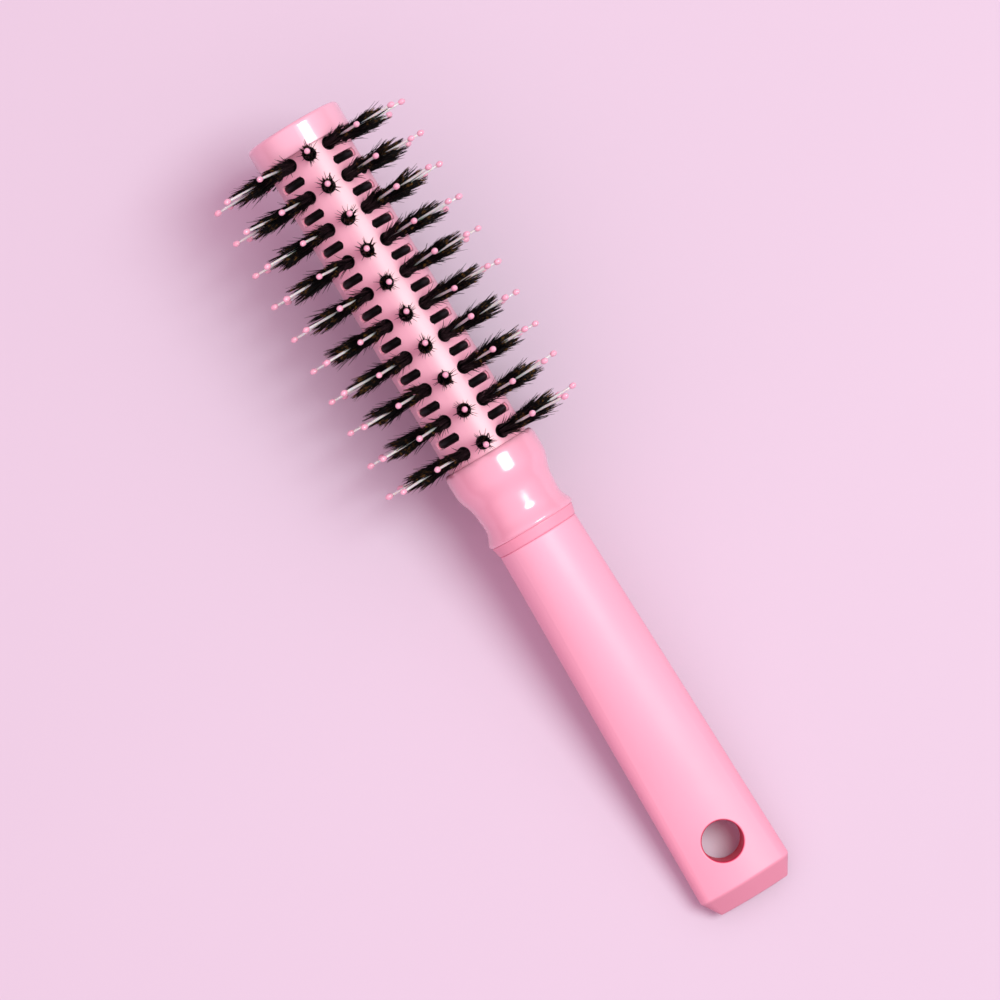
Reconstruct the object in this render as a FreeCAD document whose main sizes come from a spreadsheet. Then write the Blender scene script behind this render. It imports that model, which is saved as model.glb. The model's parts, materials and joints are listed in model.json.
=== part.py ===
import FreeCAD, Part
import Sketcher

import math
import os

# Round barrel brush, in millimetres.
#
# Every piece is modelled along the brush's own axis: local Z runs from the free end of the barrel
# (z = 0) to the end of the handle, and local +X points at the underside. At the end the whole brush
# is laid down as it rests on a table, on the lowest ball tip of its last ring and on the underside
# of its handle end, so that +X runs from the barrel to the handle and +Z is up.

DIMENSIONS = {
    # end cap
    "cap_radius": 13.85,
    "cap_length": 7.45,
    "cap_face": 2.9,
    "cap_front_round": 1.2,
    "cap_rear_round": 0.35,
    "spigot_radius": 2.8,
    "spigot_end": 10.7,
    # barrel shell
    "shell_radius": 11.95,
    "shell_wall": 1.6,
    "shell_end": 106.7,
    "tuft_hole_radius": 1.95,
    "first_ring": 9.45,
    "ring_pitch": 9.93,
    "ring_total": 10,
    "row_total": 12,
    "slot_columns": 4,
    "slot_width": 2.5,
    "slot_half_chord": 4.53,
    "slot_ledge_height": 10.45,
    "opening_half_chord": 4.05,
    "opening_depth": 6.2,
    # bristle carriers
    "carrier_inside": 9.15,
    "carrier_outside": 10.25,
    "carrier_start": 3.9,
    "carrier_end": 103.7,
    "twin_spread": 52.0,
    "single_spread": 22.0,
    "socket_radius": 1.85,
    "socket_top": 12.15,
    "socket_bore": 1.62,
    "socket_floor": 9.6,
    "window_width": 3.0,
    "window_half_length": 2.9,
    "window_depth": 3.6,
    "rung_radius": 1.1,
    "rung_centre": 10.35,
    "rung_spread": 40.6,
    # barrel spine
    "hub_radius": 4.6,
    "web_half_thickness": 0.5,
    "ledge_radius": 8.5,
    "ledge_half_width": 1.15,
    "seat_gap": 0.05,
    "key_radius": 10.1,
    "key_half_width": 0.48,
    "web_angle": 15.0,
    "flange_start": 104.7,
    "flange_radius": 10.3,
    "tang_radius": 3.4,
    "tang_end": 150.7,
    # tufts, pins and ball tips
    "tuft_radius": 1.58,
    "tuft_tip": 24.5,
    "tuft_tip_radius": 2.35,
    "tuft_core": 0.4,
    "pin_radius": 0.36,
    "ball_centre": 28.9,
    "ball_half_length": 1.1,
    "ball_radius": 0.9,
    # neck collar: its outer shape is a run of circles
    "neck_start": 101.9,
    "neck_start_radius": 12.5,
    "lip_place": 102.25,
    "lip_radius": 13.25,
    "bulge_start": 103.2,
    "bulge_start_radius": 13.62,
    "bulge_centre": 106.0,
    "bulge_radius": 13.72,
    "bulge_end": 108.9,
    "bulge_end_radius": 13.62,
    "shoulder_start": 110.5,
    "shoulder_start_radius": 13.25,
    "shoulder_place": 112.2,
    "shoulder_radius": 12.62,
    "waist_start": 115.0,
    "waist_start_radius": 11.85,
    "waist_place": 118.8,
    "waist_radius": 11.5,
    "flare_start": 122.0,
    "flare_start_radius": 11.98,
    "flare_place": 124.55,
    "flare_radius": 12.85,
    "neck_end": 124.95,
    "neck_end_radius": 12.6,
    # band ring
    "band_end": 128.1,
    "band_front_radius": 12.45,
    "band_rear_radius": 11.75,
    "band_front_round": 0.3,
    "band_rear_round": 0.5,
    # handle core and grip
    "stub_start": 108.7,
    "stub_radius": 6.2,
    "skin": 1.6,
    "grip_front_round": 0.45,
    "grip_edge_round": 0.7,
    "bevel_start": 236.2,
    "bevel_half_width": 13.78,
    "bevel_half_thickness": 6.0,
    "bevel_meeting": 22.0,
    "overall_length": 241.7,
    "end_half_width": 10.4,
    "end_half_thickness": 2.2,
    "end_meeting": 20.0,
    "hang_place": 223.9,
    "hang_radius": 5.65,
    "hang_lining": 1.0,
    "hang_round": 0.5,
    # how far a cut starts outside what it cuts, and how deep a joined piece runs into its base
    "cut_lead": 1.5,
    "joint_depth": 0.5,
}

# Handle sections between the band and the bevel: place along the brush, half width, half thickness,
# and the angle from the crowned face's middle at which its arc meets the rounded side's.
HANDLE_SECTIONS = (
    (128.1, 11.65, 11.65, 45.0),
    (145.7, 12.0, 10.7, 40.0),
    (172.7, 12.6, 8.9, 33.0),
    (199.7, 13.1, 7.3, 27.0),
    (222.7, 13.5, 6.3, 23.0),
)
for number, section in enumerate(HANDLE_SECTIONS, 1):
    for name, value in zip(("place", "half_width", "half_thickness", "meeting"), section):
        DIMENSIONS[f"handle{number}_{name}"] = value

doc = FreeCAD.newDocument("round_barrel_brush")
sheet = doc.addObject("Spreadsheet::Sheet", "dims")
for line, (alias, value) in enumerate(DIMENSIONS.items(), 1):
    sheet.set(f"A{line}", alias)
    sheet.set(f"B{line}", str(value))
    sheet.setAlias(f"B{line}", alias)
doc.recompute()

subparts = []


def size(name):
    """The sheet's value for one alias."""
    return float(getattr(sheet, name))


def worth(expression):
    """The number that an expression over the sheet gives now."""
    value = sheet.evalExpression(expression)
    return float(getattr(value, "Value", value))


# ---- bodies, sketches and features ----------------------------------------------------------------

def new_body(label):
    body = doc.addObject("PartDesign::Body", label)
    body.Label = label
    subparts.append(body)
    return body


def origin_part(body, role):
    return next(part for part in body.Origin.OriginFeatures if part.Role == role)


def new_sketch(body, name, role, along="0", lift="0", turn="0"):
    """Sketch on an origin plane: moved along its own up direction, lifted off, and turned about it."""
    sketch = body.newObject("Sketcher::SketchObject", name)
    sketch.AttachmentSupport = (origin_part(body, role), "")
    sketch.MapMode = "FlatFace"
    turned = FreeCAD.Rotation(FreeCAD.Vector(0, 1, 0), worth(turn))
    lifted = turned.multVec(FreeCAD.Vector(0, 0, 1))
    sketch.AttachmentOffset = FreeCAD.Placement(FreeCAD.Vector(0, 0, 0), turned)
    sketch.setExpression("AttachmentOffset.Base.x", f"({lift}) * {lifted.x:.9f}")
    sketch.setExpression("AttachmentOffset.Base.y", along)
    sketch.setExpression("AttachmentOffset.Base.z", f"({lift}) * {lifted.z:.9f}")
    return sketch


def hold(sketch, kind, *where, expression):
    """Dimension of the sketch that follows the sheet."""
    number = sketch.addConstraint(Sketcher.Constraint(kind, *where, worth(expression)))
    sketch.setExpression(f"Constraints[{number}]", expression)


def hold_point(sketch, piece, end, across, up):
    """Ties a point to its place, given from the sketch's origin."""
    for kind, axis, expression in (("DistanceX", -2, across), ("DistanceY", -1, up)):
        if abs(worth(expression)) < 1e-9:
            sketch.addConstraint(Sketcher.Constraint("PointOnObject", piece, end, axis))
        else:
            hold(sketch, kind, -1, 1, piece, end, expression=expression)


def draw_outline(sketch, corners):
    """Closed outline of straight lines through corners, each two expressions."""
    places = [FreeCAD.Vector(worth(across), worth(up), 0) for across, up in corners]
    first = sketch.GeometryCount
    for start, stop in zip(places, places[1:] + places[:1]):
        sketch.addGeometry(Part.LineSegment(start, stop))
    for number, (across, up) in enumerate(corners):
        following = first + (number + 1) % len(corners)
        sketch.addConstraint(Sketcher.Constraint("Coincident", first + number, 2, following, 1))
        hold_point(sketch, first + number, 1, across, up)


def draw_circle(sketch, across, up, radius):
    centre = FreeCAD.Vector(worth(across), worth(up), 0)
    piece = sketch.addGeometry(Part.Circle(centre, FreeCAD.Vector(0, 0, 1), worth(radius)))
    hold_point(sketch, piece, 3, across, up)
    hold(sketch, "Radius", piece, expression=radius)


def draw_slot(sketch, up, half_length, radius):
    """Slot with round ends, lying across the sketch at the height up."""
    reach = worth(half_length) - worth(radius)
    height = worth(up)
    ends = []
    for side, start in ((1, -90), (-1, 90)):
        centre = FreeCAD.Vector(side * reach, height, 0)
        round_end = Part.Circle(centre, FreeCAD.Vector(0, 0, 1), worth(radius))
        arc = Part.ArcOfCircle(round_end, math.radians(start), math.radians(start + 180))
        ends.append(sketch.addGeometry(arc))
        hold_point(sketch, ends[-1], 3, f"{side} * ({half_length} - {radius})", up)
    for leaving, entering in (ends, ends[::-1]):
        start = sketch.Geometry[leaving].EndPoint
        stop = sketch.Geometry[entering].StartPoint
        side = sketch.addGeometry(Part.LineSegment(start, stop))
        sketch.addConstraint(Sketcher.Constraint("Tangent", leaving, 2, side, 1))
        sketch.addConstraint(Sketcher.Constraint("Tangent", side, 2, entering, 1))
    hold(sketch, "Radius", ends[0], expression=radius)


def draw_oval(sketch, half_width, half_thickness, meeting):
    """Oval of four tangent arcs: two crowned faces, across X, and two rounded sides, across Y.

    Neighbouring arcs meet at the angle meeting from the middle of a face.
    """
    depth = f"((({half_width}) - ({half_thickness})) / (1 + tan({meeting}) - 1 / cos({meeting})))"
    face_radius = f"{depth} + ({half_thickness})"
    side_centre = f"{depth} * tan({meeting})"
    side_radius = f"({half_width}) - {side_centre}"
    arcs = []
    for quarter in range(4):
        is_face = quarter % 2 == 0
        radius = worth(face_radius if is_face else side_radius)
        spread = math.radians(worth(meeting) if is_face else 90 - worth(meeting))
        reach = -worth(depth) if is_face else worth(side_centre)
        toward = quarter * math.pi / 2
        centre = FreeCAD.Vector(reach * math.cos(toward), reach * math.sin(toward), 0)
        ring = Part.Circle(centre, FreeCAD.Vector(0, 0, 1), radius)
        arcs.append(sketch.addGeometry(Part.ArcOfCircle(ring, toward - spread, toward + spread)))
    for leaving, entering in zip(arcs, arcs[1:] + arcs[:1]):
        sketch.addConstraint(Sketcher.Constraint("Tangent", leaving, 2, entering, 1))
    hold(sketch, "Radius", arcs[0], expression=face_radius)
    hold(sketch, "Radius", arcs[1], expression=side_radius)
    hold(sketch, "DistanceX", -1, 1, arcs[0], 3, expression=f"-{depth}")
    hold(sketch, "DistanceY", -1, 1, arcs[1], 3, expression=side_centre)


def add(body, kind, name, sketch=None):
    feature = body.newObject(f"PartDesign::{kind}", name)
    if sketch is not None:
        feature.Profile = sketch
    return feature


def pad(body, name, sketch, length, midplane=False):
    feature = add(body, "Pad", name, sketch)
    feature.setExpression("Length", length)
    feature.Midplane = midplane
    return feature


def pocket(body, name, sketch, length, midplane=False):
    """Cut from the sketch's plane towards the brush's axis, or both ways from the plane."""
    feature = add(body, "Pocket", name, sketch)
    feature.setExpression("Length", length)
    feature.Midplane = midplane
    return feature


def revolve(body, name, sketch, axis="V_Axis", angle="360"):
    """Turned about one of the sketch's axes, half of the angle to each side."""
    feature = add(body, "Revolution", name, sketch)
    feature.ReferenceAxis = (sketch, [axis])
    feature.setExpression("Angle", angle)
    feature.Midplane = True
    return feature


def loft(body, name, sketches, ruled=False, kind="AdditiveLoft"):
    feature = add(body, kind, name, sketches[0])
    feature.Sections = sketches[1:]
    feature.Ruled = ruled
    return feature


def repeat(body, name, originals, along=None, around=None, mirror=False):
    """Copies along the brush (count, pitch), round it (count, whole angle) and across the XZ plane."""
    pattern = add(body, "MultiTransform", name)
    steps = []
    if mirror:
        steps.append(add(body, "Mirrored", f"{name}_mirror"))
        steps[-1].MirrorPlane = (origin_part(body, "XZ_Plane"), [""])
    if along:
        steps.append(add(body, "LinearPattern", f"{name}_along"))
        steps[-1].Direction = (origin_part(body, "Z_Axis"), [""])
        steps[-1].setExpression("Occurrences", along[0])
        steps[-1].setExpression("Length", f"(({along[0]}) - 1) * ({along[1]})")
    if around:
        steps.append(add(body, "PolarPattern", f"{name}_around"))
        steps[-1].Axis = (origin_part(body, "Z_Axis"), [""])
        steps[-1].setExpression("Occurrences", around[0])
        steps[-1].setExpression("Angle", around[1])
    pattern.Originals = originals
    pattern.Transformations = steps
    body.Tip = pattern
    return pattern


def round_edges(body, name, base, radius, wanted):
    """Fillet on those edges of the base feature that the test picks."""
    doc.recompute()
    picked = [f"Edge{number}" for number, edge in enumerate(base.Shape.Edges, 1) if wanted(edge)]
    feature = add(body, "Fillet", name)
    feature.Base = (base, picked)
    feature.setExpression("Radius", radius)
    body.Tip = feature
    return feature


def circle_at(height, radius):
    """Test for the round edges of one radius at one place along the brush."""
    def wanted(edge):
        curve = edge.Curve
        return (isinstance(curve, Part.Circle) and abs(curve.Radius - radius) < TOUCHING
                and abs(curve.Center.z - height) < TOUCHING)
    return wanted


RINGS = ("dims.ring_total", "dims.ring_pitch")
SLOTS = ("dims.ring_total - 1", "dims.ring_pitch")
FIRST_SLOT = "dims.first_ring + dims.ring_pitch / 2"
THROUGH_HANDLE = "4 * dims.handle1_half_thickness"
TOUCHING = 0.02


# ---- end cap, shell and inner frame ------------------------------------------------------------

def make_end_cap():
    """Cap over the shell's free end, with a spigot into the spine's hub."""
    body = new_body("end_cap")
    sketch = new_sketch(body, "cap_half", "XZ_Plane")
    draw_outline(sketch, (
        ("0", "0"), ("dims.cap_radius", "0"), ("dims.cap_radius", "dims.cap_length"),
        ("dims.shell_radius", "dims.cap_length"), ("dims.shell_radius", "dims.cap_face"),
        ("dims.spigot_radius", "dims.cap_face"), ("dims.spigot_radius", "dims.spigot_end"),
        ("0", "dims.spigot_end")))
    turned = revolve(body, "cap_turned", sketch)
    front = round_edges(body, "cap_front", turned, "dims.cap_front_round",
                        circle_at(0, size("cap_radius")))
    round_edges(body, "cap_rear", front, "dims.cap_rear_round",
                circle_at(size("cap_length"), size("cap_radius")))


def make_barrel_shell():
    """Tube with a hole for each tuft socket and columns of vent slots between the rings.

    A vent slot has round ends down to a ledge, and a square-ended opening through the wall.
    """
    body = new_body("barrel_shell")
    wall = new_sketch(body, "shell_wall", "XZ_Plane")
    inside = "dims.shell_radius - dims.shell_wall"
    draw_outline(wall, (
        (inside, "dims.cap_face"), ("dims.shell_radius", "dims.cap_face"),
        ("dims.shell_radius", "dims.shell_end"), (inside, "dims.shell_end")))
    tube = revolve(body, "shell_tube", wall)
    doc.recompute()
    solid_volume = tube.Shape.Volume
    holes = new_sketch(body, "tuft_holes", "YZ_Plane", lift="dims.shell_radius + dims.cut_lead")
    for ring in range(int(size("ring_total"))):
        draw_circle(holes, "0", f"dims.first_ring + {ring} * dims.ring_pitch", "dims.tuft_hole_radius")
    row = pocket(body, "tuft_hole_row", holes, "dims.shell_wall + 2 * dims.cut_lead")
    repeat(body, "tuft_hole_rows", [row], around=("dims.row_total", "360"))
    above = "dims.shell_radius + dims.cut_lead"
    slots = new_sketch(body, "vent_slots", "YZ_Plane", lift=above, turn="45")
    openings = new_sketch(body, "vent_openings", "YZ_Plane", lift=above, turn="45")
    reach = "dims.opening_half_chord"
    for gap in range(int(size("ring_total")) - 1):
        middle = f"{FIRST_SLOT} + {gap} * dims.ring_pitch"
        draw_slot(slots, middle, "dims.slot_half_chord", "dims.slot_width / 2")
        low, high = f"{middle} - dims.slot_width / 2", f"{middle} + dims.slot_width / 2"
        draw_outline(openings, ((f"-{reach}", low), (reach, low), (reach, high), (f"-{reach}", high)))
    column = pocket(body, "vent_slot_column", slots, f"{above} - dims.slot_ledge_height")
    through = pocket(body, "vent_opening_column", openings, "dims.opening_depth")
    repeat(body, "vent_slot_columns", [column, through], around=("dims.slot_columns", "360"))
    doc.recompute()
    print("shell volume cut away", solid_volume - body.Shape.Volume)


def make_barrel_spine():
    """Inner frame: hub, eight radial webs with a ledge and a key between two carriers, and a tang."""
    body = new_body("barrel_spine")
    profile = new_sketch(body, "hub_half", "XZ_Plane")
    draw_outline(profile, (
        ("dims.spigot_radius", "dims.carrier_start"), ("dims.hub_radius", "dims.carrier_start"),
        ("dims.hub_radius", "dims.flange_start"), ("dims.flange_radius", "dims.flange_start"),
        ("dims.flange_radius", "dims.shell_end"), ("dims.tang_radius", "dims.shell_end"),
        ("dims.tang_radius", "dims.tang_end"), ("0", "dims.tang_end"),
        ("0", "dims.spigot_end"), ("dims.spigot_radius", "dims.spigot_end")))
    revolve(body, "hub", profile)
    web = new_sketch(body, "web_section", "XY_Plane", lift="dims.carrier_start")
    turned = FreeCAD.Rotation(FreeCAD.Vector(0, 0, 1), size("web_angle"))
    web.AttachmentOffset = FreeCAD.Placement(web.AttachmentOffset.Base, turned)
    web.setExpression("AttachmentOffset.Base.x", None)
    half = (("dims.hub_radius - dims.joint_depth", "dims.web_half_thickness"),
            ("dims.ledge_radius", "dims.web_half_thickness"),
            ("dims.ledge_radius", "dims.ledge_half_width"),
            ("dims.carrier_inside - dims.seat_gap", "dims.ledge_half_width"),
            ("dims.carrier_inside - dims.seat_gap", "dims.key_half_width"),
            ("dims.key_radius", "dims.key_half_width"))
    mirrored = tuple((across, f"-({up})") for across, up in reversed(half))
    draw_outline(web, half + mirrored)
    first = pad(body, "web", web, "dims.flange_start - dims.carrier_start")
    repeat(body, "webs", [first], mirror=True, around=("4", "360"))


def make_carrier(label, spread, row_angles, vented):
    """Moulded strip under the shell with a socket for every tuft.

    Under each vent slot it has a window, bridged by a round rung that stands up into the slot.
    """
    body = new_body(label)
    section = new_sketch(body, "strip_section", "XZ_Plane")
    draw_outline(section, (
        ("dims.carrier_inside", "dims.carrier_start"), ("dims.carrier_outside", "dims.carrier_start"),
        ("dims.carrier_outside", "dims.carrier_end"), ("dims.carrier_inside", "dims.carrier_end")))
    revolve(body, "strip", section, angle=spread)
    if vented:
        window = new_sketch(body, "window_outline", "YZ_Plane", FIRST_SLOT,
                            "dims.carrier_outside + dims.cut_lead")
        reach, half = "dims.window_half_length", "dims.window_width / 2"
        draw_outline(window, ((f"-{reach}", f"-{half}"), (reach, f"-{half}"), (reach, half),
                              (f"-{reach}", half)))
        opening = pocket(body, "window", window, "dims.window_depth")
        rod = new_sketch(body, "rung_section", "XZ_Plane", FIRST_SLOT)
        draw_circle(rod, "dims.rung_centre", "0", "dims.rung_radius")
        rung = revolve(body, "rung", rod, angle="dims.rung_spread")
        repeat(body, "windows", [opening, rung], along=SLOTS)
    for row, angle in enumerate(row_angles, 1):
        root = new_sketch(body, f"socket_root_{row}", "YZ_Plane", "dims.first_ring",
                          "dims.carrier_inside", str(angle))
        draw_circle(root, "0", "0", "dims.socket_radius")
        post = pad(body, f"socket_{row}", root, "dims.socket_top - dims.carrier_inside")
        mouth = new_sketch(body, f"socket_mouth_{row}", "YZ_Plane", "dims.first_ring",
                           "dims.socket_top", str(angle))
        draw_circle(mouth, "0", "0", "dims.socket_bore")
        bore = pocket(body, f"socket_bore_{row}", mouth, "dims.socket_top - dims.socket_floor")
        repeat(body, f"sockets_{row}", [post, bore], along=RINGS)
    return body


# ---- neck and handle ---------------------------------------------------------------------------

def make_neck_collar():
    """Waisted sleeve over the rear end of the shell and the front stub of the handle core."""
    body = new_body("neck_collar")
    circles = (("neck_start", "neck_start_radius"), ("lip_place", "lip_radius"),
               ("bulge_start", "bulge_start_radius"), ("bulge_centre", "bulge_radius"),
               ("bulge_end", "bulge_end_radius"), ("shoulder_start", "shoulder_start_radius"),
               ("shoulder_place", "shoulder_radius"), ("waist_start", "waist_start_radius"),
               ("waist_place", "waist_radius"), ("flare_start", "flare_start_radius"),
               ("flare_place", "flare_radius"), ("neck_end", "neck_end_radius"))
    sections = []
    for place, radius in circles:
        sections.append(new_sketch(body, f"{place}_circle", "XY_Plane", lift=f"dims.{place}"))
        draw_circle(sections[-1], "0", "0", f"dims.{radius}")
    loft(body, "neck_outside", sections)
    recess = new_sketch(body, "shell_recess_half", "XZ_Plane")
    draw_outline(recess, (
        ("0", "dims.neck_start - dims.cut_lead"),
        ("dims.shell_radius", "dims.neck_start - dims.cut_lead"),
        ("dims.shell_radius", "dims.shell_end"), ("dims.stub_radius", "dims.shell_end"),
        ("dims.stub_radius", "dims.neck_end + dims.cut_lead"),
        ("0", "dims.neck_end + dims.cut_lead")))
    bore = add(body, "Groove", "neck_bore", recess)
    bore.ReferenceAxis = (recess, ["V_Axis"])
    bore.Angle = 360


def make_band_ring():
    """Tapered ring between the neck and the grip."""
    body = new_body("band_ring")
    section = new_sketch(body, "band_half", "XZ_Plane")
    draw_outline(section, (
        ("dims.stub_radius", "dims.neck_end"), ("dims.band_front_radius", "dims.neck_end"),
        ("dims.band_rear_radius", "dims.band_end"), ("dims.stub_radius", "dims.band_end")))
    turned = revolve(body, "band_turned", section)
    front = round_edges(body, "band_front", turned, "dims.band_front_round",
                        circle_at(size("neck_end"), size("band_front_radius")))
    round_edges(body, "band_rear", front, "dims.band_rear_round",
                circle_at(size("band_end"), size("band_rear_radius")))


def handle_sections(body, inset):
    """Sketches of the handle's cross-sections, each drawn inset from the outside by that much."""
    names = [f"handle{number}" for number in range(1, len(HANDLE_SECTIONS) + 1)]
    places = [(f"dims.{name}_place", f"dims.{name}") for name in names]
    places.append(("dims.bevel_start", "dims.bevel"))
    sketches = []
    for number, (place, stem) in enumerate(places, 1):
        sketches.append(new_sketch(body, f"section_{number}", "XY_Plane", lift=place))
        draw_oval(sketches[-1], f"{stem}_half_width - {inset}", f"{stem}_half_thickness - {inset}",
                  f"{stem}_meeting")
    return sketches


def make_handle_core():
    """Stiff moulding under the grip: stub into the neck, socket for the tang, eye for the hanging hole."""
    body = new_body("handle_core")
    loft(body, "core_shape", handle_sections(body, "dims.skin"))
    stub = new_sketch(body, "stub_circle", "XY_Plane", lift="dims.stub_start")
    draw_circle(stub, "0", "0", "dims.stub_radius")
    pad(body, "stub", stub, "dims.handle1_place - dims.stub_start + dims.joint_depth")
    socket = new_sketch(body, "tang_circle", "XY_Plane", lift="dims.tang_end")
    draw_circle(socket, "0", "0", "dims.tang_radius")
    pocket(body, "tang_socket", socket, "dims.tang_end - dims.stub_start + dims.cut_lead")
    eye = new_sketch(body, "eye_circle", "YZ_Plane", "dims.hang_place")
    draw_circle(eye, "0", "0", "dims.hang_radius + dims.hang_lining")
    pocket(body, "eye", eye, THROUGH_HANDLE, midplane=True)


def make_handle_grip():
    """Soft overmould round the core, closed and bevelled at its end, that also lines the hanging hole."""
    body = new_body("handle_grip")
    outside = handle_sections(body, "0")
    loft(body, "grip_shape", outside)
    finish = new_sketch(body, "end_face", "XY_Plane", lift="dims.overall_length")
    draw_oval(finish, "dims.end_half_width", "dims.end_half_thickness", "dims.end_meeting")
    bevel_base = new_sketch(body, "bevel_base", "XY_Plane", lift="dims.bevel_start")
    draw_oval(bevel_base, "dims.bevel_half_width", "dims.bevel_half_thickness", "dims.bevel_meeting")
    bevel = loft(body, "bevel", [bevel_base, finish], ruled=True)
    heights = (size("bevel_start"), size("overall_length"))

    def on_bevel(edge):
        box = edge.BoundBox
        return box.ZLength < TOUCHING and any(abs(box.ZMin - height) < TOUCHING for height in heights)

    def on_front(edge):
        box = edge.BoundBox
        return box.ZLength < TOUCHING and abs(box.ZMin - size("handle1_place")) < TOUCHING

    rear = round_edges(body, "bevel_round", bevel, "dims.grip_edge_round", on_bevel)
    round_edges(body, "front_round", rear, "dims.grip_front_round", on_front)
    loft(body, "core_cavity", handle_sections(body, "dims.skin"), kind="SubtractiveLoft")
    lining = new_sketch(body, "lining_circle", "YZ_Plane", "dims.hang_place")
    draw_circle(lining, "0", "0", "dims.hang_radius + dims.hang_lining")
    pad(body, "lining", lining, "2 * dims.bevel_half_thickness - dims.skin", midplane=True)
    hole = new_sketch(body, "hanging_circle", "YZ_Plane", "dims.hang_place")
    draw_circle(hole, "0", "0", "dims.hang_radius")
    through = pocket(body, "hanging_hole", hole, THROUGH_HANDLE, midplane=True)

    def on_rim(edge):
        away = [math.hypot(point.y, point.z - size("hang_place")) for point in edge.discretize(9)]
        return (max(away) - min(away) < TOUCHING and abs(away[0] - size("hang_radius")) < TOUCHING
                and edge.BoundBox.XLength < size("hang_radius") / 2)

    round_edges(body, "hanging_rim", through, "dims.hang_round", on_rim)


# ---- tufts, pins and ball tips -----------------------------------------------------------------

def make_bristle_row(label):
    """Ten tufts of one row, each a ring-shaped bundle that spreads from its socket."""
    body = new_body(label)
    half = new_sketch(body, "tuft_half", "XZ_Plane", "dims.first_ring")
    draw_outline(half, (
        ("dims.socket_floor", "dims.tuft_core"), ("dims.socket_floor", "dims.tuft_radius"),
        ("dims.socket_top", "dims.tuft_radius"), ("dims.tuft_tip", "dims.tuft_tip_radius"),
        ("dims.tuft_tip", "dims.tuft_core")))
    tuft = revolve(body, "tuft", half, axis="H_Axis")
    repeat(body, "tufts", [tuft], along=RINGS)
    return body


def make_pin_row(label):
    """Ten nylon pins of one row, from the socket floors to the middles of their ball tips."""
    body = new_body(label)
    section = new_sketch(body, "pin_section", "YZ_Plane", "dims.first_ring", "dims.socket_floor")
    draw_circle(section, "0", "0", "dims.pin_radius")
    pin = pad(body, "pin", section, "dims.ball_centre - dims.socket_floor")
    repeat(body, "pins", [pin], along=RINGS)
    return body


def make_ball_row(label):
    """Ten ball tips of one row, slightly longer than wide, each with a blind hole for its pin."""
    body = new_body(label)
    ball = add(body, "AdditiveEllipsoid", "ball")
    ball.AttachmentSupport = (origin_part(body, "XY_Plane"), "")
    ball.MapMode = "FlatFace"
    ball.setExpression("AttachmentOffset.Base.x", "dims.ball_centre")
    ball.setExpression("AttachmentOffset.Base.z", "dims.first_ring")
    ball.setExpression("Radius1", "dims.ball_radius")
    ball.setExpression("Radius2", "dims.ball_half_length")
    ball.setExpression("Radius3", "dims.ball_radius")
    seat = new_sketch(body, "pin_seat", "YZ_Plane", "dims.first_ring", "dims.ball_centre")
    draw_circle(seat, "0", "0", "dims.pin_radius")
    bore = pocket(body, "pin_bore", seat, "2 * dims.ball_half_length")
    repeat(body, "balls", [ball, bore], along=RINGS)
    return body


make_end_cap()
make_barrel_shell()
make_barrel_spine()
make_neck_collar()
make_band_ring()
make_handle_core()
make_handle_grip()

# A piece's turn about the brush's axis, in degrees from the top of the laid-down brush.
turns = {}
for number in range(1, 5):
    quarter = 90 * (number - 1)
    twin = make_carrier(f"twin_row_carrier_{number}", "dims.twin_spread", (-15, 15), vented=True)
    single = make_carrier(f"single_row_carrier_{number}", "dims.single_spread", (0,), vented=False)
    turns[twin] = quarter + 45
    turns[single] = quarter
rows = int(size("row_total"))
for number in range(1, rows + 1):
    for make_row, label in ((make_bristle_row, "bristle_row"), (make_pin_row, "pin_row"),
                            (make_ball_row, "ball_row")):
        turns[make_row(f"{label}_{number:02d}")] = 360 / rows * (number - 1)
doc.recompute()

for thing in doc.Objects:
    if "Invalid" in thing.State or "Error" in thing.State:
        raise RuntimeError(f"{thing.Label}: {thing.State}")
for piece in subparts:
    if piece.Shape.isNull() or not piece.Shape.isValid() or piece.Shape.Volume <= 0:
        raise RuntimeError(f"{piece.Label} has no sound shape")


# ---- laid down on the table --------------------------------------------------------------------

def lay_down(tilt, shift):
    """Places every piece: turned about the brush's axis, then the brush tipped over and moved."""
    lying = FreeCAD.Placement(shift, FreeCAD.Rotation(FreeCAD.Vector(0, 1, 0), 90 + tilt))
    for piece in subparts:
        turn = 180 - turns[piece] if piece in turns else 0
        spun = FreeCAD.Placement(FreeCAD.Vector(), FreeCAD.Rotation(FreeCAD.Vector(0, 0, 1), turn))
        piece.Placement = lying.multiply(spun)


last_ring = size("first_ring") + (size("ring_total") - 1) * size("ring_pitch")
ball_reach = size("ball_centre") + size("ball_half_length")
rise = ball_reach - size("bevel_half_thickness")
tilt = math.degrees(math.atan2(rise, size("bevel_start") - last_ring))
lay_down(tilt, FreeCAD.Vector())
box = FreeCAD.BoundBox()
for piece in subparts:
    box.add(piece.Shape.optimalBoundingBox(False))
lay_down(tilt, FreeCAD.Vector(-box.Center.x, -box.Center.y, -box.ZMin))
print(f"tilt {tilt:.3f} degrees, box {box.XLength:.2f} x {box.YLength:.2f} x {box.ZLength:.2f}")

os.makedirs("parts", exist_ok=True)
for piece in subparts:
    piece.Shape.exportStep(f"parts/{piece.Label}.step")
    print(f"{piece.Label}: {len(piece.Shape.Solids)} solids, {piece.Shape.Volume:.1f} mm3")
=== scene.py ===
import json
import math

import bpy
import numpy as np
from mathutils import Matrix, Vector


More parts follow.
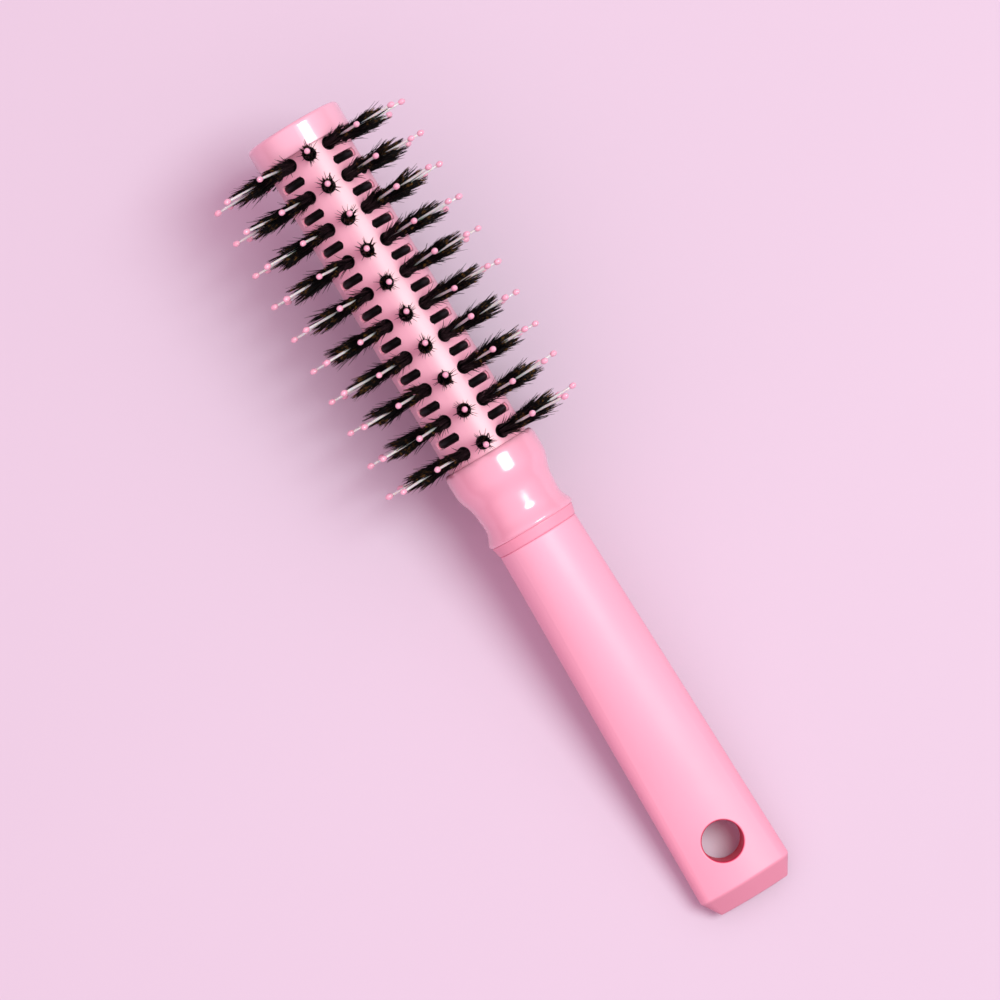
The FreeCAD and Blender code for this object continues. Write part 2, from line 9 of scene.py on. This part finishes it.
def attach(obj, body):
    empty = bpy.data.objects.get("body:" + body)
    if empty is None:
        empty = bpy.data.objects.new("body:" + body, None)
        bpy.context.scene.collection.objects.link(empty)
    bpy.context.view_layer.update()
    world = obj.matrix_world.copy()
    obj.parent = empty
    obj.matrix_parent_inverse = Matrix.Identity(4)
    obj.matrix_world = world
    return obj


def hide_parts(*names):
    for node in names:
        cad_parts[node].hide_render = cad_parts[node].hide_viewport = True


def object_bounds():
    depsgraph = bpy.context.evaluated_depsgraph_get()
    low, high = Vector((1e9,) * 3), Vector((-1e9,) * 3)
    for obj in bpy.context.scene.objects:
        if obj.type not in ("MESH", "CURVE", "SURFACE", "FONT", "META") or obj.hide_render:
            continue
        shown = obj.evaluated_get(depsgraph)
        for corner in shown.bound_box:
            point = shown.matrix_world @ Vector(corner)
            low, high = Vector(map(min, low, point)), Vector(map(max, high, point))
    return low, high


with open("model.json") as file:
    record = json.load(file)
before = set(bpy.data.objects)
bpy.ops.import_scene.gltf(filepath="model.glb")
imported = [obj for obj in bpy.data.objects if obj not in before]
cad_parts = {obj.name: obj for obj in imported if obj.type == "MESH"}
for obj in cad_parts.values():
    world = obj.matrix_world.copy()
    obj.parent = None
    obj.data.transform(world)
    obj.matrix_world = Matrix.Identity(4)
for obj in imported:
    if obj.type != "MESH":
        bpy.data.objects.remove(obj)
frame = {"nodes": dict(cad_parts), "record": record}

# Looks of the round barrel brush: real bristle in every tuft, leaning nylon pins with dipped tips,
# and moulded-plastic materials for the pieces that keep their own shape. Lengths are in metres.

CAD_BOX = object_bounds()
MM = 0.001

# ---- the brush's own axes, read from its mounts ------------------------------------------------

MOUNTS = {mount["name"]: mount for mount in frame["record"]["mounts"]}
FREE_END = Vector(MOUNTS["end_cap_face"]["pos_m"])
ALONG = -Vector(MOUNTS["end_cap_face"]["axis"]).normalized()
UPWARD = Vector(MOUNTS["hanging_hole"]["axis"]).normalized()
SIDE = UPWARD.cross(ALONG).normalized()

ROWS = 12
RINGS = 10
FIRST_RING = 9.45 * MM
RING_PITCH = 9.93 * MM
SOCKET_FLOOR = 9.9 * MM
BALL_CENTRE = 28.9 * MM
HOLE_RADIUS = MOUNTS["hanging_hole"]["dims"]["r_mm"] * MM
GRIP_START = 128.1 * MM
HOLE_PLACE = (Vector(MOUNTS["hanging_hole"]["pos_m"]) - FREE_END).dot(ALONG)
BEVEL_START = 236.2 * MM

rng = np.random.default_rng(20)


def row_directions(row):
    """Outward and sideways directions of a row; row 0 is on top and the next ones go towards +Y."""
    angle = 2 * math.pi * row / ROWS
    outward = UPWARD * math.cos(angle) + SIDE * math.sin(angle)
    return np.array(outward), np.array(ALONG.cross(outward))


def ring_centre(ring):
    return np.array(FREE_END + ALONG * (FIRST_RING + ring * RING_PITCH))


# ---- mesh helpers ------------------------------------------------------------------------------

def mesh_object(name, points, faces, smooth=True):
    mesh = bpy.data.meshes.new(name)
    mesh.from_pydata([tuple(point) for point in points], [], faces)
    mesh.update()
    if smooth:
        mesh.shade_smooth()
    thing = bpy.data.objects.new(name, mesh)
    bpy.context.scene.collection.objects.link(thing)
    return thing


def tube(path, radii, sides, turn=0.0):
    """Points and faces of a closed round tube along a path of numpy points."""
    path = np.asarray(path, float)
    heading = np.gradient(path, axis=0)
    heading /= np.linalg.norm(heading, axis=1)[:, None]
    reference = np.array([0.0, 0.0, 1.0])
    if abs(heading[0] @ reference) > 0.9:
        reference = np.array([0.0, 1.0, 0.0])
    across = np.cross(heading, reference)
    across /= np.linalg.norm(across, axis=1)[:, None]
    over = np.cross(heading, across)
    angles = turn + np.arange(sides) * 2 * math.pi / sides
    rings = (path[:, None, :]
             + np.cos(angles)[None, :, None] * across[:, None, :] * np.asarray(radii)[:, None, None]
             + np.sin(angles)[None, :, None] * over[:, None, :] * np.asarray(radii)[:, None, None])
    faces = []
    for step in range(len(path) - 1):
        for side in range(sides):
            following = (side + 1) % sides
            faces.append((step * sides + side, step * sides + following,
                          (step + 1) * sides + following, (step + 1) * sides + side))
    faces.append(tuple(range(sides))[::-1])
    faces.append(tuple(range((len(path) - 1) * sides, len(path) * sides)))
    return rings.reshape(-1, 3), faces


class Builder:
    """Collects the parts of one mesh."""

    def __init__(self):
        self.points, self.faces, self.total = [], [], 0

    def add(self, points, faces):
        self.points.append(np.asarray(points))
        self.faces.extend(tuple(index + self.total for index in face) for face in faces)
        self.total += len(points)

    def make(self, name):
        return mesh_object(name, np.concatenate(self.points), self.faces)


# ---- bristle, pins and ball tips ---------------------------------------------------------------

# one hair: the thickness is a share of the radius, and a bend of 1 is straight
HAIR_STEPS = 7
HAIR_SIDES = 4
HAIR_RADIUS = 0.125 * MM
HAIR_THICKNESS = 0.7, 1.15
HAIR_BEND = 1.0, 1.8
HAIR_CURL = 0.12 * MM
TIP_TAPER = 0.75
TAPER_POWER = 4

# one tuft: locks that share their hairs' ends, and single strays round them
BUNDLE_RADIUS = 1.35 * MM
TUFT_LEAN = 0.3 * MM
LOCKS = 19
LOCK_TURNS = 3
LOCK_SHIFT = 0.8
LOCK_ROOTS = 0.05, 1.0
LOCK_FAN = 1.15, 1.6
LOCK_SCATTER = 0.25 * MM
LOCK_TIPS = 20.0 * MM, 24.4 * MM, 25.2 * MM
HAIRS_IN_LOCK = 7
ROOT_SCATTER = 0.28 * MM
END_SCATTER = 0.14 * MM
SHORTER_BY = 0.9 * MM
PARTING = 0.5 * MM
PARTING_SHARES = 0.5, 1.2
PARTING_START = 0.66
PARTING_POWER = 0.7
STRAYS = 30
STRAY_ROOTS = 0.6, 1.0
STRAY_REACH = 2.0 * MM, 3.8 * MM
STRAY_TIPS = 15.5 * MM, 24.0 * MM
STRAY_BEND = 1.6, 3.2

PIN_RADIUS = 0.36 * MM
PIN_STEPS = 9
PIN_SIDES = 12
PIN_LEAN = 0.34 * MM
MOST_LEAN = 0.8 * MM
PIN_BEND = 1.5
BALL_SIDES = 20
BALL_SIZES = 0.87, 0.95


def add_hair(builder, frame_of_tuft, start, tip_offset, tip, bend, curl=0.0, parting=0.0):
    """One tapering hair from its place in the socket to its tip.

    The offsets start, tip_offset, curl and parting are along and across the brush, and tip is the
    height of the hair's tip over the brush's axis.
    """
    centre, outward, sideways = frame_of_tuft
    reach = np.linspace(0.0, 1.0, HAIR_STEPS)
    offset = start + (tip_offset - start) * (reach ** bend)[:, None]
    offset = offset + curl * np.sin(reach * math.pi)[:, None]
    parted = np.clip((reach - PARTING_START) / (1 - PARTING_START), 0, 1) ** PARTING_POWER
    offset[:, 0] += parting * parted
    height = SOCKET_FLOOR + (tip - SOCKET_FLOOR) * reach
    path = centre + outward * height[:, None] + np.array(ALONG) * offset[:, :1] + sideways * offset[:, 1:]
    thickness = HAIR_RADIUS * rng.uniform(*HAIR_THICKNESS) * (1 - TIP_TAPER * reach ** TAPER_POWER)
    builder.add(*tube(path, thickness, HAIR_SIDES, rng.uniform(0, math.pi)))


def add_tuft(builder, frame_of_tuft):
    """Hairs that fan out of one socket in pointed locks, which part on both sides of the pin."""
    lean = rng.normal(0, TUFT_LEAN, 2)
    for lock in range(LOCKS):
        angle = 2 * math.pi * (lock + rng.uniform(0, LOCK_SHIFT)) / LOCKS * LOCK_TURNS
        toward = np.array([math.cos(angle), math.sin(angle)])
        root = toward * BUNDLE_RADIUS * math.sqrt(rng.uniform(*LOCK_ROOTS))
        end = root * rng.uniform(*LOCK_FAN) + lean + rng.normal(0, LOCK_SCATTER, 2)
        parting = math.copysign(PARTING * rng.uniform(*PARTING_SHARES), root[0])
        tip = rng.triangular(*LOCK_TIPS)
        for _ in range(HAIRS_IN_LOCK):
            add_hair(builder, frame_of_tuft, root + rng.normal(0, ROOT_SCATTER, 2),
                     end + rng.normal(0, END_SCATTER, 2), tip - abs(rng.normal(0, SHORTER_BY)),
                     rng.uniform(*HAIR_BEND), rng.normal(0, HAIR_CURL, 2), parting)
    for _ in range(STRAYS):
        angle = rng.uniform(0, 2 * math.pi)
        toward = np.array([math.cos(angle), math.sin(angle)])
        add_hair(builder, frame_of_tuft, toward * BUNDLE_RADIUS * rng.uniform(*STRAY_ROOTS),
                 toward * rng.uniform(*STRAY_REACH), rng.uniform(*STRAY_TIPS), rng.uniform(*STRAY_BEND))


def pin_path(centre, outward, sideways):
    """Points of one pin, which leans and bends a little but keeps its length."""
    lean = np.clip(rng.normal(0, PIN_LEAN, 2), -MOST_LEAN, MOST_LEAN)
    reach = np.linspace(0.0, 1.0, PIN_STEPS)
    span = BALL_CENTRE - SOCKET_FLOOR
    shortened = span - (lean @ lean) / (2 * span)
    return (centre + outward * (SOCKET_FLOOR + shortened * reach)[:, None]
            + (np.array(ALONG) * lean[0] + sideways * lean[1]) * (reach ** PIN_BEND)[:, None])


# heights and radii of a ball tip in millimetres, from its neck to its top
BALL_PROFILE = ((-1.22, 0.34), (-1.12, 0.44), (-0.98, 0.60), (-0.74, 0.76), (-0.42, 0.87), (-0.05, 0.90),
                (0.30, 0.86), (0.60, 0.74), (0.84, 0.55), (1.0, 0.32), (1.08, 0.12))


def add_ball(builder, centre, direction):
    """Dipped tip: an egg shape with a short neck round the pin."""
    heights = np.array([height for height, _ in BALL_PROFILE]) * MM
    radii = np.array([radius for _, radius in BALL_PROFILE]) * MM
    size = rng.uniform(*BALL_SIZES)
    path = centre + direction * (heights * size)[:, None]
    builder.add(*tube(path, radii * size, BALL_SIDES))


def make_rows():
    for row in range(ROWS):
        outward, sideways = row_directions(row)
        hairs, pins, balls = Builder(), Builder(), Builder()
        for ring in range(RINGS):
            centre = ring_centre(ring)
            add_tuft(hairs, (centre, outward, sideways))
            path = pin_path(centre, outward, sideways)
            pins.add(*tube(path, np.full(len(path), PIN_RADIUS), PIN_SIDES))
            direction = path[-1] - path[-2]
            add_ball(balls, path[-1], direction / np.linalg.norm(direction))
        for builder, stem, look, slot in ((hairs, "bristle_row", "bristle", "bristle"),
                                          (pins, "pin_row", "nylon", "nylon_pin"),
                                          (balls, "ball_row", "ball", "ball_tip")):
            node = f"{stem}_{row + 1:02d}"
            piece = builder.make(f"{node}_look")
            piece.data.materials.append(LOOKS[look])
            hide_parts(node)
            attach(piece, "root")


# ---- materials ---------------------------------------------------------------------------------

def srgb(red, green, blue):
    """Colour given as 0 to 255 display values."""
    def linear(value):
        value /= 255
        return value / 12.92 if value <= 0.04045 else ((value + 0.055) / 1.055) ** 2.4
    return (linear(red), linear(green), linear(blue), 1.0)


# most of a noise lies between these two values
NOISE_SPAN = 0.3, 0.7


class Look:
    """A node material around one Principled shader."""

    def __init__(self, name):
        self.material = bpy.data.materials.new(name)
        self.material.use_nodes = True
        self.tree = self.material.node_tree
        self.shader = self.tree.nodes["Principled BSDF"]
        self.place = self.node("ShaderNodeTexCoord").outputs["Object"]

    def node(self, kind, **settings):
        made = self.tree.nodes.new(kind)
        for name, value in settings.items():
            setattr(made, name, value)
        return made

    def link(self, start, stop):
        self.tree.links.new(start, stop)

    def feed(self, name, output):
        """Link an output to the shader's input of that name."""
        self.link(output, self.shader.inputs[name])

    def set(self, **values):
        for name, value in values.items():
            self.shader.inputs[name.replace("_", " ")].default_value = value

    def noise(self, scale, detail=2.0, roughness=0.5, stretch=None):
        texture = self.node("ShaderNodeTexNoise")
        texture.inputs["Scale"].default_value = scale
        texture.inputs["Detail"].default_value = detail
        texture.inputs["Roughness"].default_value = roughness
        place = self.place
        if stretch is not None:
            mapping = self.node("ShaderNodeMapping")
            mapping.inputs["Scale"].default_value = stretch
            self.link(place, mapping.inputs["Vector"])
            place = mapping.outputs["Vector"]
        self.link(place, texture.inputs["Vector"])
        return texture.outputs["Fac"]

    def ramp(self, factor, *stops):
        made = self.node("ShaderNodeValToRGB")
        elements = made.color_ramp.elements
        while len(elements) < len(stops):
            elements.new(0.5)
        for element, (position, colour) in zip(elements, stops):
            element.position = position
            element.color = colour
        self.link(factor, made.inputs["Fac"])
        return made.outputs["Color"]

    def drift(self, noise, deep, light):
        """Colour that wanders between two tones with a noise."""
        low, high = NOISE_SPAN
        return self.ramp(noise, (low, deep), (high, light))

    def remap(self, factor, low, high, start=0.0, stop=1.0):
        made = self.node("ShaderNodeMapRange")
        for name, value in (("From Min", start), ("From Max", stop), ("To Min", low), ("To Max", high)):
            made.inputs[name].default_value = value
        self.link(factor, made.inputs["Value"])
        return made.outputs["Result"]

    def vector(self, operation, first, second=(0, 0, 0)):
        """Vector maths node on a linked vector and a constant one."""
        made = self.node("ShaderNodeVectorMath", operation=operation)
        self.link(first, made.inputs[0])
        made.inputs[1].default_value = second
        return made.outputs

    def distance_from(self, point, axis):
        """How far the shaded place is from the line through point along axis."""
        toward = self.vector("SUBTRACT", self.place, point)["Vector"]
        arm = self.vector("CROSS_PRODUCT", toward, axis)["Vector"]
        return self.vector("LENGTH", arm)["Value"]

    def distance_along(self, point, axis):
        """How far along axis the shaded place is from point."""
        toward = self.vector("SUBTRACT", self.place, point)["Vector"]
        return self.vector("DOT_PRODUCT", toward, axis)["Value"]

    def mix(self, factor, first, second):
        """Colour that goes from the linked first one to the constant second one."""
        blend = self.node("ShaderNodeMix", data_type="RGBA")
        self.link(factor, blend.inputs["Factor"])
        self.link(first, blend.inputs["A"])
        blend.inputs["B"].default_value = second
        return blend.outputs["Result"]

    def bump(self, height, strength, distance):
        made = self.node("ShaderNodeBump")
        made.inputs["Strength"].default_value = strength
        made.inputs["Distance"].default_value = distance
        self.link(height, made.inputs["Height"])
        self.feed("Normal", made.outputs["Normal"])


COLOUR_DRIFT = 35
GLOSS_DRIFT = 90
GRAIN = 2500
GRAIN_DEPTH = 0.01 * MM
GRAIN_STRENGTH = 0.25


def plastic(name, light, deep, gloss, grain=GRAIN, **extra):
    """Moulded plastic: slight colour drift, uneven gloss and a fine surface grain."""
    look = Look(name)
    look.set(**extra)
    look.feed("Base Color", look.drift(look.noise(COLOUR_DRIFT, 3), deep, light))
    look.feed("Roughness", look.remap(look.noise(GLOSS_DRIFT, 4), *gloss, *NOISE_SPAN))
    look.bump(look.noise(grain, 2), GRAIN_STRENGTH, GRAIN_DEPTH)
    return look.material


# stretch along the brush over which the painted shade on the bevelled end fades in
BEVEL_SHADE_EDGE = BEVEL_START, BEVEL_START + 0.8 * MM
# distances from the hole's axis over which the painted shade inside the hanging hole fades out
HOLE_SHADE_EDGE = HOLE_RADIUS + 0.1 * MM, HOLE_RADIUS + 0.5 * MM
GRIP_GLOSS = 0.42, 0.48


def grip_look():
    """Soft-touch rubber, paler towards the neck as painted light, deeper on the bevelled end and round the
    hanging hole as painted shade.
    """
    look = Look("soft_touch_pink")
    light, deep = GRIP_PINK
    outside = look.drift(look.noise(COLOUR_DRIFT, 3), deep, light)
    along = look.distance_along(FREE_END, ALONG)
    # painted light: the grip's colour is paler towards the neck and fades back by the hanging hole
    outside = look.mix(look.remap(along, 0.8, 0.0, GRIP_START, HOLE_PLACE), outside, PAINTED_NECK_LIGHT)
    # painted shade: the bevelled end of the grip is coloured a deeper pink
    outside = look.mix(look.remap(along, 0.0, 1.0, *BEVEL_SHADE_EDGE), outside, PAINTED_BEVEL_SHADE)
    off_axis = look.distance_from(MOUNTS["hanging_hole"]["pos_m"], UPWARD)
    # painted shade: the wall of the hanging hole is coloured a deep red
    hole_shade = look.remap(off_axis, 1.0, 0.0, *HOLE_SHADE_EDGE)
    look.feed("Base Color", look.mix(hole_shade, outside, PAINTED_HOLE_SHADE))
    look.feed("Roughness", look.remap(look.noise(GLOSS_DRIFT, 4), *GRIP_GLOSS, *NOISE_SPAN))
    look.set(Specular_IOR_Level=0.5)
    look.bump(look.noise(2 * GRAIN, 2), GRAIN_STRENGTH, 2 * GRAIN_DEPTH)
    return look.material


BROWN_EDGE = 15 * MM, 25 * MM
BROWN_PATCHES = 0.48, 0.62


def bristle_look():
    """Black hair, brown where it is bleached towards the tips, each hair a little different."""
    look = Look("bristle_hair")
    outer = look.remap(look.distance_from(FREE_END, ALONG), 0.0, 1.0, *BROWN_EDGE)
    patchy = look.remap(look.noise(900, 2), 0.0, 1.0, *BROWN_PATCHES)
    brown = look.node("ShaderNodeMath", operation="MULTIPLY")
    look.link(outer, brown.inputs[0])
    look.link(patchy, brown.inputs[1])
    colour = look.ramp(brown.outputs["Value"], (0.0, srgb(5, 3, 5)), (0.4, srgb(16, 10, 9)),
                       (1.0, srgb(128, 88, 40)))
    look.feed("Base Color", colour)
    look.feed("Roughness", look.remap(look.noise(2500, 1), 0.4, 0.6))
    look.set(Specular_IOR_Level=0.12)
    return look.material


def nylon_look():
    """Translucent white nylon."""
    look = Look("nylon")
    look.feed("Base Color", look.drift(look.noise(300, 2), srgb(235, 222, 228), srgb(250, 242, 246)))
    look.feed("Roughness", look.remap(look.noise(500, 2), 0.18, 0.3))
    look.set(Transmission_Weight=0.25, Subsurface_Weight=0.2, Subsurface_Scale=0.001, IOR=1.5)
    return look.material


def floor_look():
    """Pale painted board."""
    look = Look("pale_floor")
    look.feed("Base Color", look.drift(look.noise(3, 2), srgb(215, 190, 212), srgb(218, 193, 215)))
    look.feed("Roughness", look.remap(look.noise(60, 3), 0.6, 0.7))
    look.set(Specular_IOR_Level=0.2)
    return look.material


CAP_PINK = srgb(250, 180, 204), srgb(247, 176, 200)
GLOSS_PINK = srgb(249, 169, 195), srgb(246, 165, 191)
SATIN_PINK = srgb(248, 160, 187), srgb(245, 156, 183)
GRIP_PINK = srgb(249, 163, 190), srgb(246, 159, 186)
FRAME_PINK = srgb(235, 140, 172), srgb(228, 132, 165)
BALL_PINK = srgb(250, 180, 206), srgb(248, 172, 200)
BLACK = srgb(10, 11, 11), srgb(6, 6, 7)
# deep red painted as the shade inside the hanging hole
PAINTED_HOLE_SHADE = srgb(212, 18, 76)
# pale pink painted as light on the grip near the neck
PAINTED_NECK_LIGHT = srgb(252, 177, 203)
# deeper pink painted as the shade on the grip's bevelled end
PAINTED_BEVEL_SHADE = srgb(222, 138, 164)

LOOKS = {
    "cap": plastic("cap_pink", *CAP_PINK, (0.20, 0.26), Coat_Weight=0.9, Coat_Roughness=0.12),
    "gloss": plastic("gloss_pink", *GLOSS_PINK, (0.20, 0.26), Coat_Weight=0.9, Coat_Roughness=0.14),
    "barrel": plastic("barrel_pink", *GLOSS_PINK, (0.40, 0.46), Coat_Weight=0.9, Coat_Roughness=0.45,
                      Specular_IOR_Level=0.7),
    "satin": plastic("satin_pink", *SATIN_PINK, (0.30, 0.38)),
    "grip": grip_look(),
    "frame": plastic("frame_pink", *FRAME_PINK, (0.40, 0.50)),
    "ball": plastic("ball_pink", *BALL_PINK, (0.12, 0.2), 3000, Subsurface_Weight=0.1,
                    Subsurface_Scale=0.0008, Coat_Weight=0.3),
    "black": plastic("carrier_black", *BLACK, (0.26, 0.36), Specular_IOR_Level=0.16),
    "bristle": bristle_look(),
    "nylon": nylon_look(),
    "floor": floor_look(),
}

NODE_LOOKS = {"end_cap": "cap", "neck_collar": "gloss", "barrel_shell": "barrel", "band_ring": "satin",
              "handle_grip": "grip", "handle_core": "frame", "barrel_spine": "frame"}


def dress_cad_nodes():
    for name, thing in frame["nodes"].items():
        look = "black" if "carrier" in name else NODE_LOOKS.get(name)
        if look:
            thing.data.materials.clear()
            thing.data.materials.append(LOOKS[look])


# ---- camera, light and floor -------------------------------------------------------------------

SENSOR = 36.0
VIEW_DISTANCE = 1.2
VIEW_WIDTH = 268.96 * MM
VIEW_TILT = math.radians(2.05)
VIEW_ROLL = math.radians(1.39)
PICTURE_TURN = math.radians(31.09)
AIM_ALONG = 114.73 * MM
AIM_SIDE = -3.79 * MM

KEY_LEAN_SIDE = math.radians(22.5)
KEY_LEAN_ALONG = math.radians(1.3)
KEY_DISTANCE = 2.2
KEY_WIDTH = 1.14
KEY_LENGTH = 0.9
KEY_POWER = 36
KEY_TINT = 0.75, 1.0, 0.86

# the room's brightness and tint go from the horizon's to those overhead as directions rise
ROOM_RISE = 0.05, 0.85
ROOM_STRENGTH = 0.055, 1.06
TINT_RISE = 0.7
HORIZON_TINT = srgb(255, 173, 206)
OVERHEAD_TINT = srgb(255, 223, 236)

FLOOR_REACH = 3.0


def make_camera():
    """Nearly straight above the brush, whose axis runs from upper left to lower right."""
    back = UPWARD * math.cos(VIEW_TILT) - ALONG * math.sin(VIEW_TILT)
    back = (back * math.cos(VIEW_ROLL) - SIDE * math.sin(VIEW_ROLL)).normalized()
    flat_along = (ALONG - back * ALONG.dot(back)).normalized()
    flat_side = back.cross(flat_along)
    right = flat_along * math.sin(PICTURE_TURN) + flat_side * math.cos(PICTURE_TURN)
    up = flat_side * math.sin(PICTURE_TURN) - flat_along * math.cos(PICTURE_TURN)
    data = bpy.data.cameras.new("camera")
    data.sensor_width = SENSOR
    data.lens = SENSOR * VIEW_DISTANCE / VIEW_WIDTH
    data.clip_start, data.clip_end = 0.05, 20.0
    camera = bpy.data.objects.new("camera", data)
    bpy.context.scene.collection.objects.link(camera)
    aim = FREE_END + ALONG * AIM_ALONG + SIDE * AIM_SIDE
    turned = Matrix((right, up, back)).transposed().to_4x4()
    camera.matrix_world = Matrix.Translation(aim + back * VIEW_DISTANCE) @ turned
    bpy.context.scene.camera = camera


def make_key_light():
    """Soft oval light above the brush and to its +Y side, with its length measured along the brush."""
    middle = (CAD_BOX[0] + CAD_BOX[1]) / 2
    toward = (UPWARD + SIDE * math.tan(KEY_LEAN_SIDE) + ALONG * math.tan(KEY_LEAN_ALONG)).normalized()
    data = bpy.data.lights.new("key", "AREA")
    data.shape = "ELLIPSE"
    data.size, data.size_y = KEY_WIDTH, KEY_LENGTH
    data.energy = KEY_POWER
    data.color = KEY_TINT
    light = bpy.data.objects.new("key", data)
    bpy.context.scene.collection.objects.link(light)
    lengthwise = (ALONG - toward * ALONG.dot(toward)).normalized()
    across = lengthwise.cross(toward)
    turned = Matrix((across, lengthwise, toward)).transposed().to_4x4()
    light.matrix_world = Matrix.Translation(middle + toward * KEY_DISTANCE) @ turned


def make_room():
    """Pale pink tent: bright overhead, dim and pinker towards the horizon."""
    world = bpy.data.worlds.new("room")
    world.use_nodes = True
    nodes, links = world.node_tree.nodes, world.node_tree.links
    direction = nodes.new("ShaderNodeTexCoord").outputs["Generated"]
    height = nodes.new("ShaderNodeSeparateXYZ")
    links.new(direction, height.inputs["Vector"])
    rise = nodes.new("ShaderNodeMapRange")
    rise.interpolation_type = "SMOOTHSTEP"
    for name, value in zip(("From Min", "From Max", "To Min", "To Max"), ROOM_RISE + ROOM_STRENGTH):
        rise.inputs[name].default_value = value
    links.new(height.outputs["Z"], rise.inputs["Value"])
    tint = nodes.new("ShaderNodeValToRGB")
    horizon, overhead = tint.color_ramp.elements
    horizon.color = HORIZON_TINT
    overhead.color = OVERHEAD_TINT
    overhead.position = TINT_RISE
    links.new(height.outputs["Z"], tint.inputs["Fac"])
    backdrop = nodes["Background"]
    links.new(tint.outputs["Color"], backdrop.inputs["Color"])
    links.new(rise.outputs["Result"], backdrop.inputs["Strength"])
    return world


def make_stage():
    reach = FLOOR_REACH
    corners = (-reach, -reach, 0), (reach, -reach, 0), (reach, reach, 0), (-reach, reach, 0)
    floor = mesh_object("floor", corners, [(0, 1, 2, 3)], smooth=False)
    floor.data.materials.append(LOOKS["floor"])
    make_key_light()
    bpy.context.scene.world = make_room()
    bpy.context.scene.view_settings.view_transform = "Standard"


dress_cad_nodes()
make_rows()
make_camera()
make_stage()
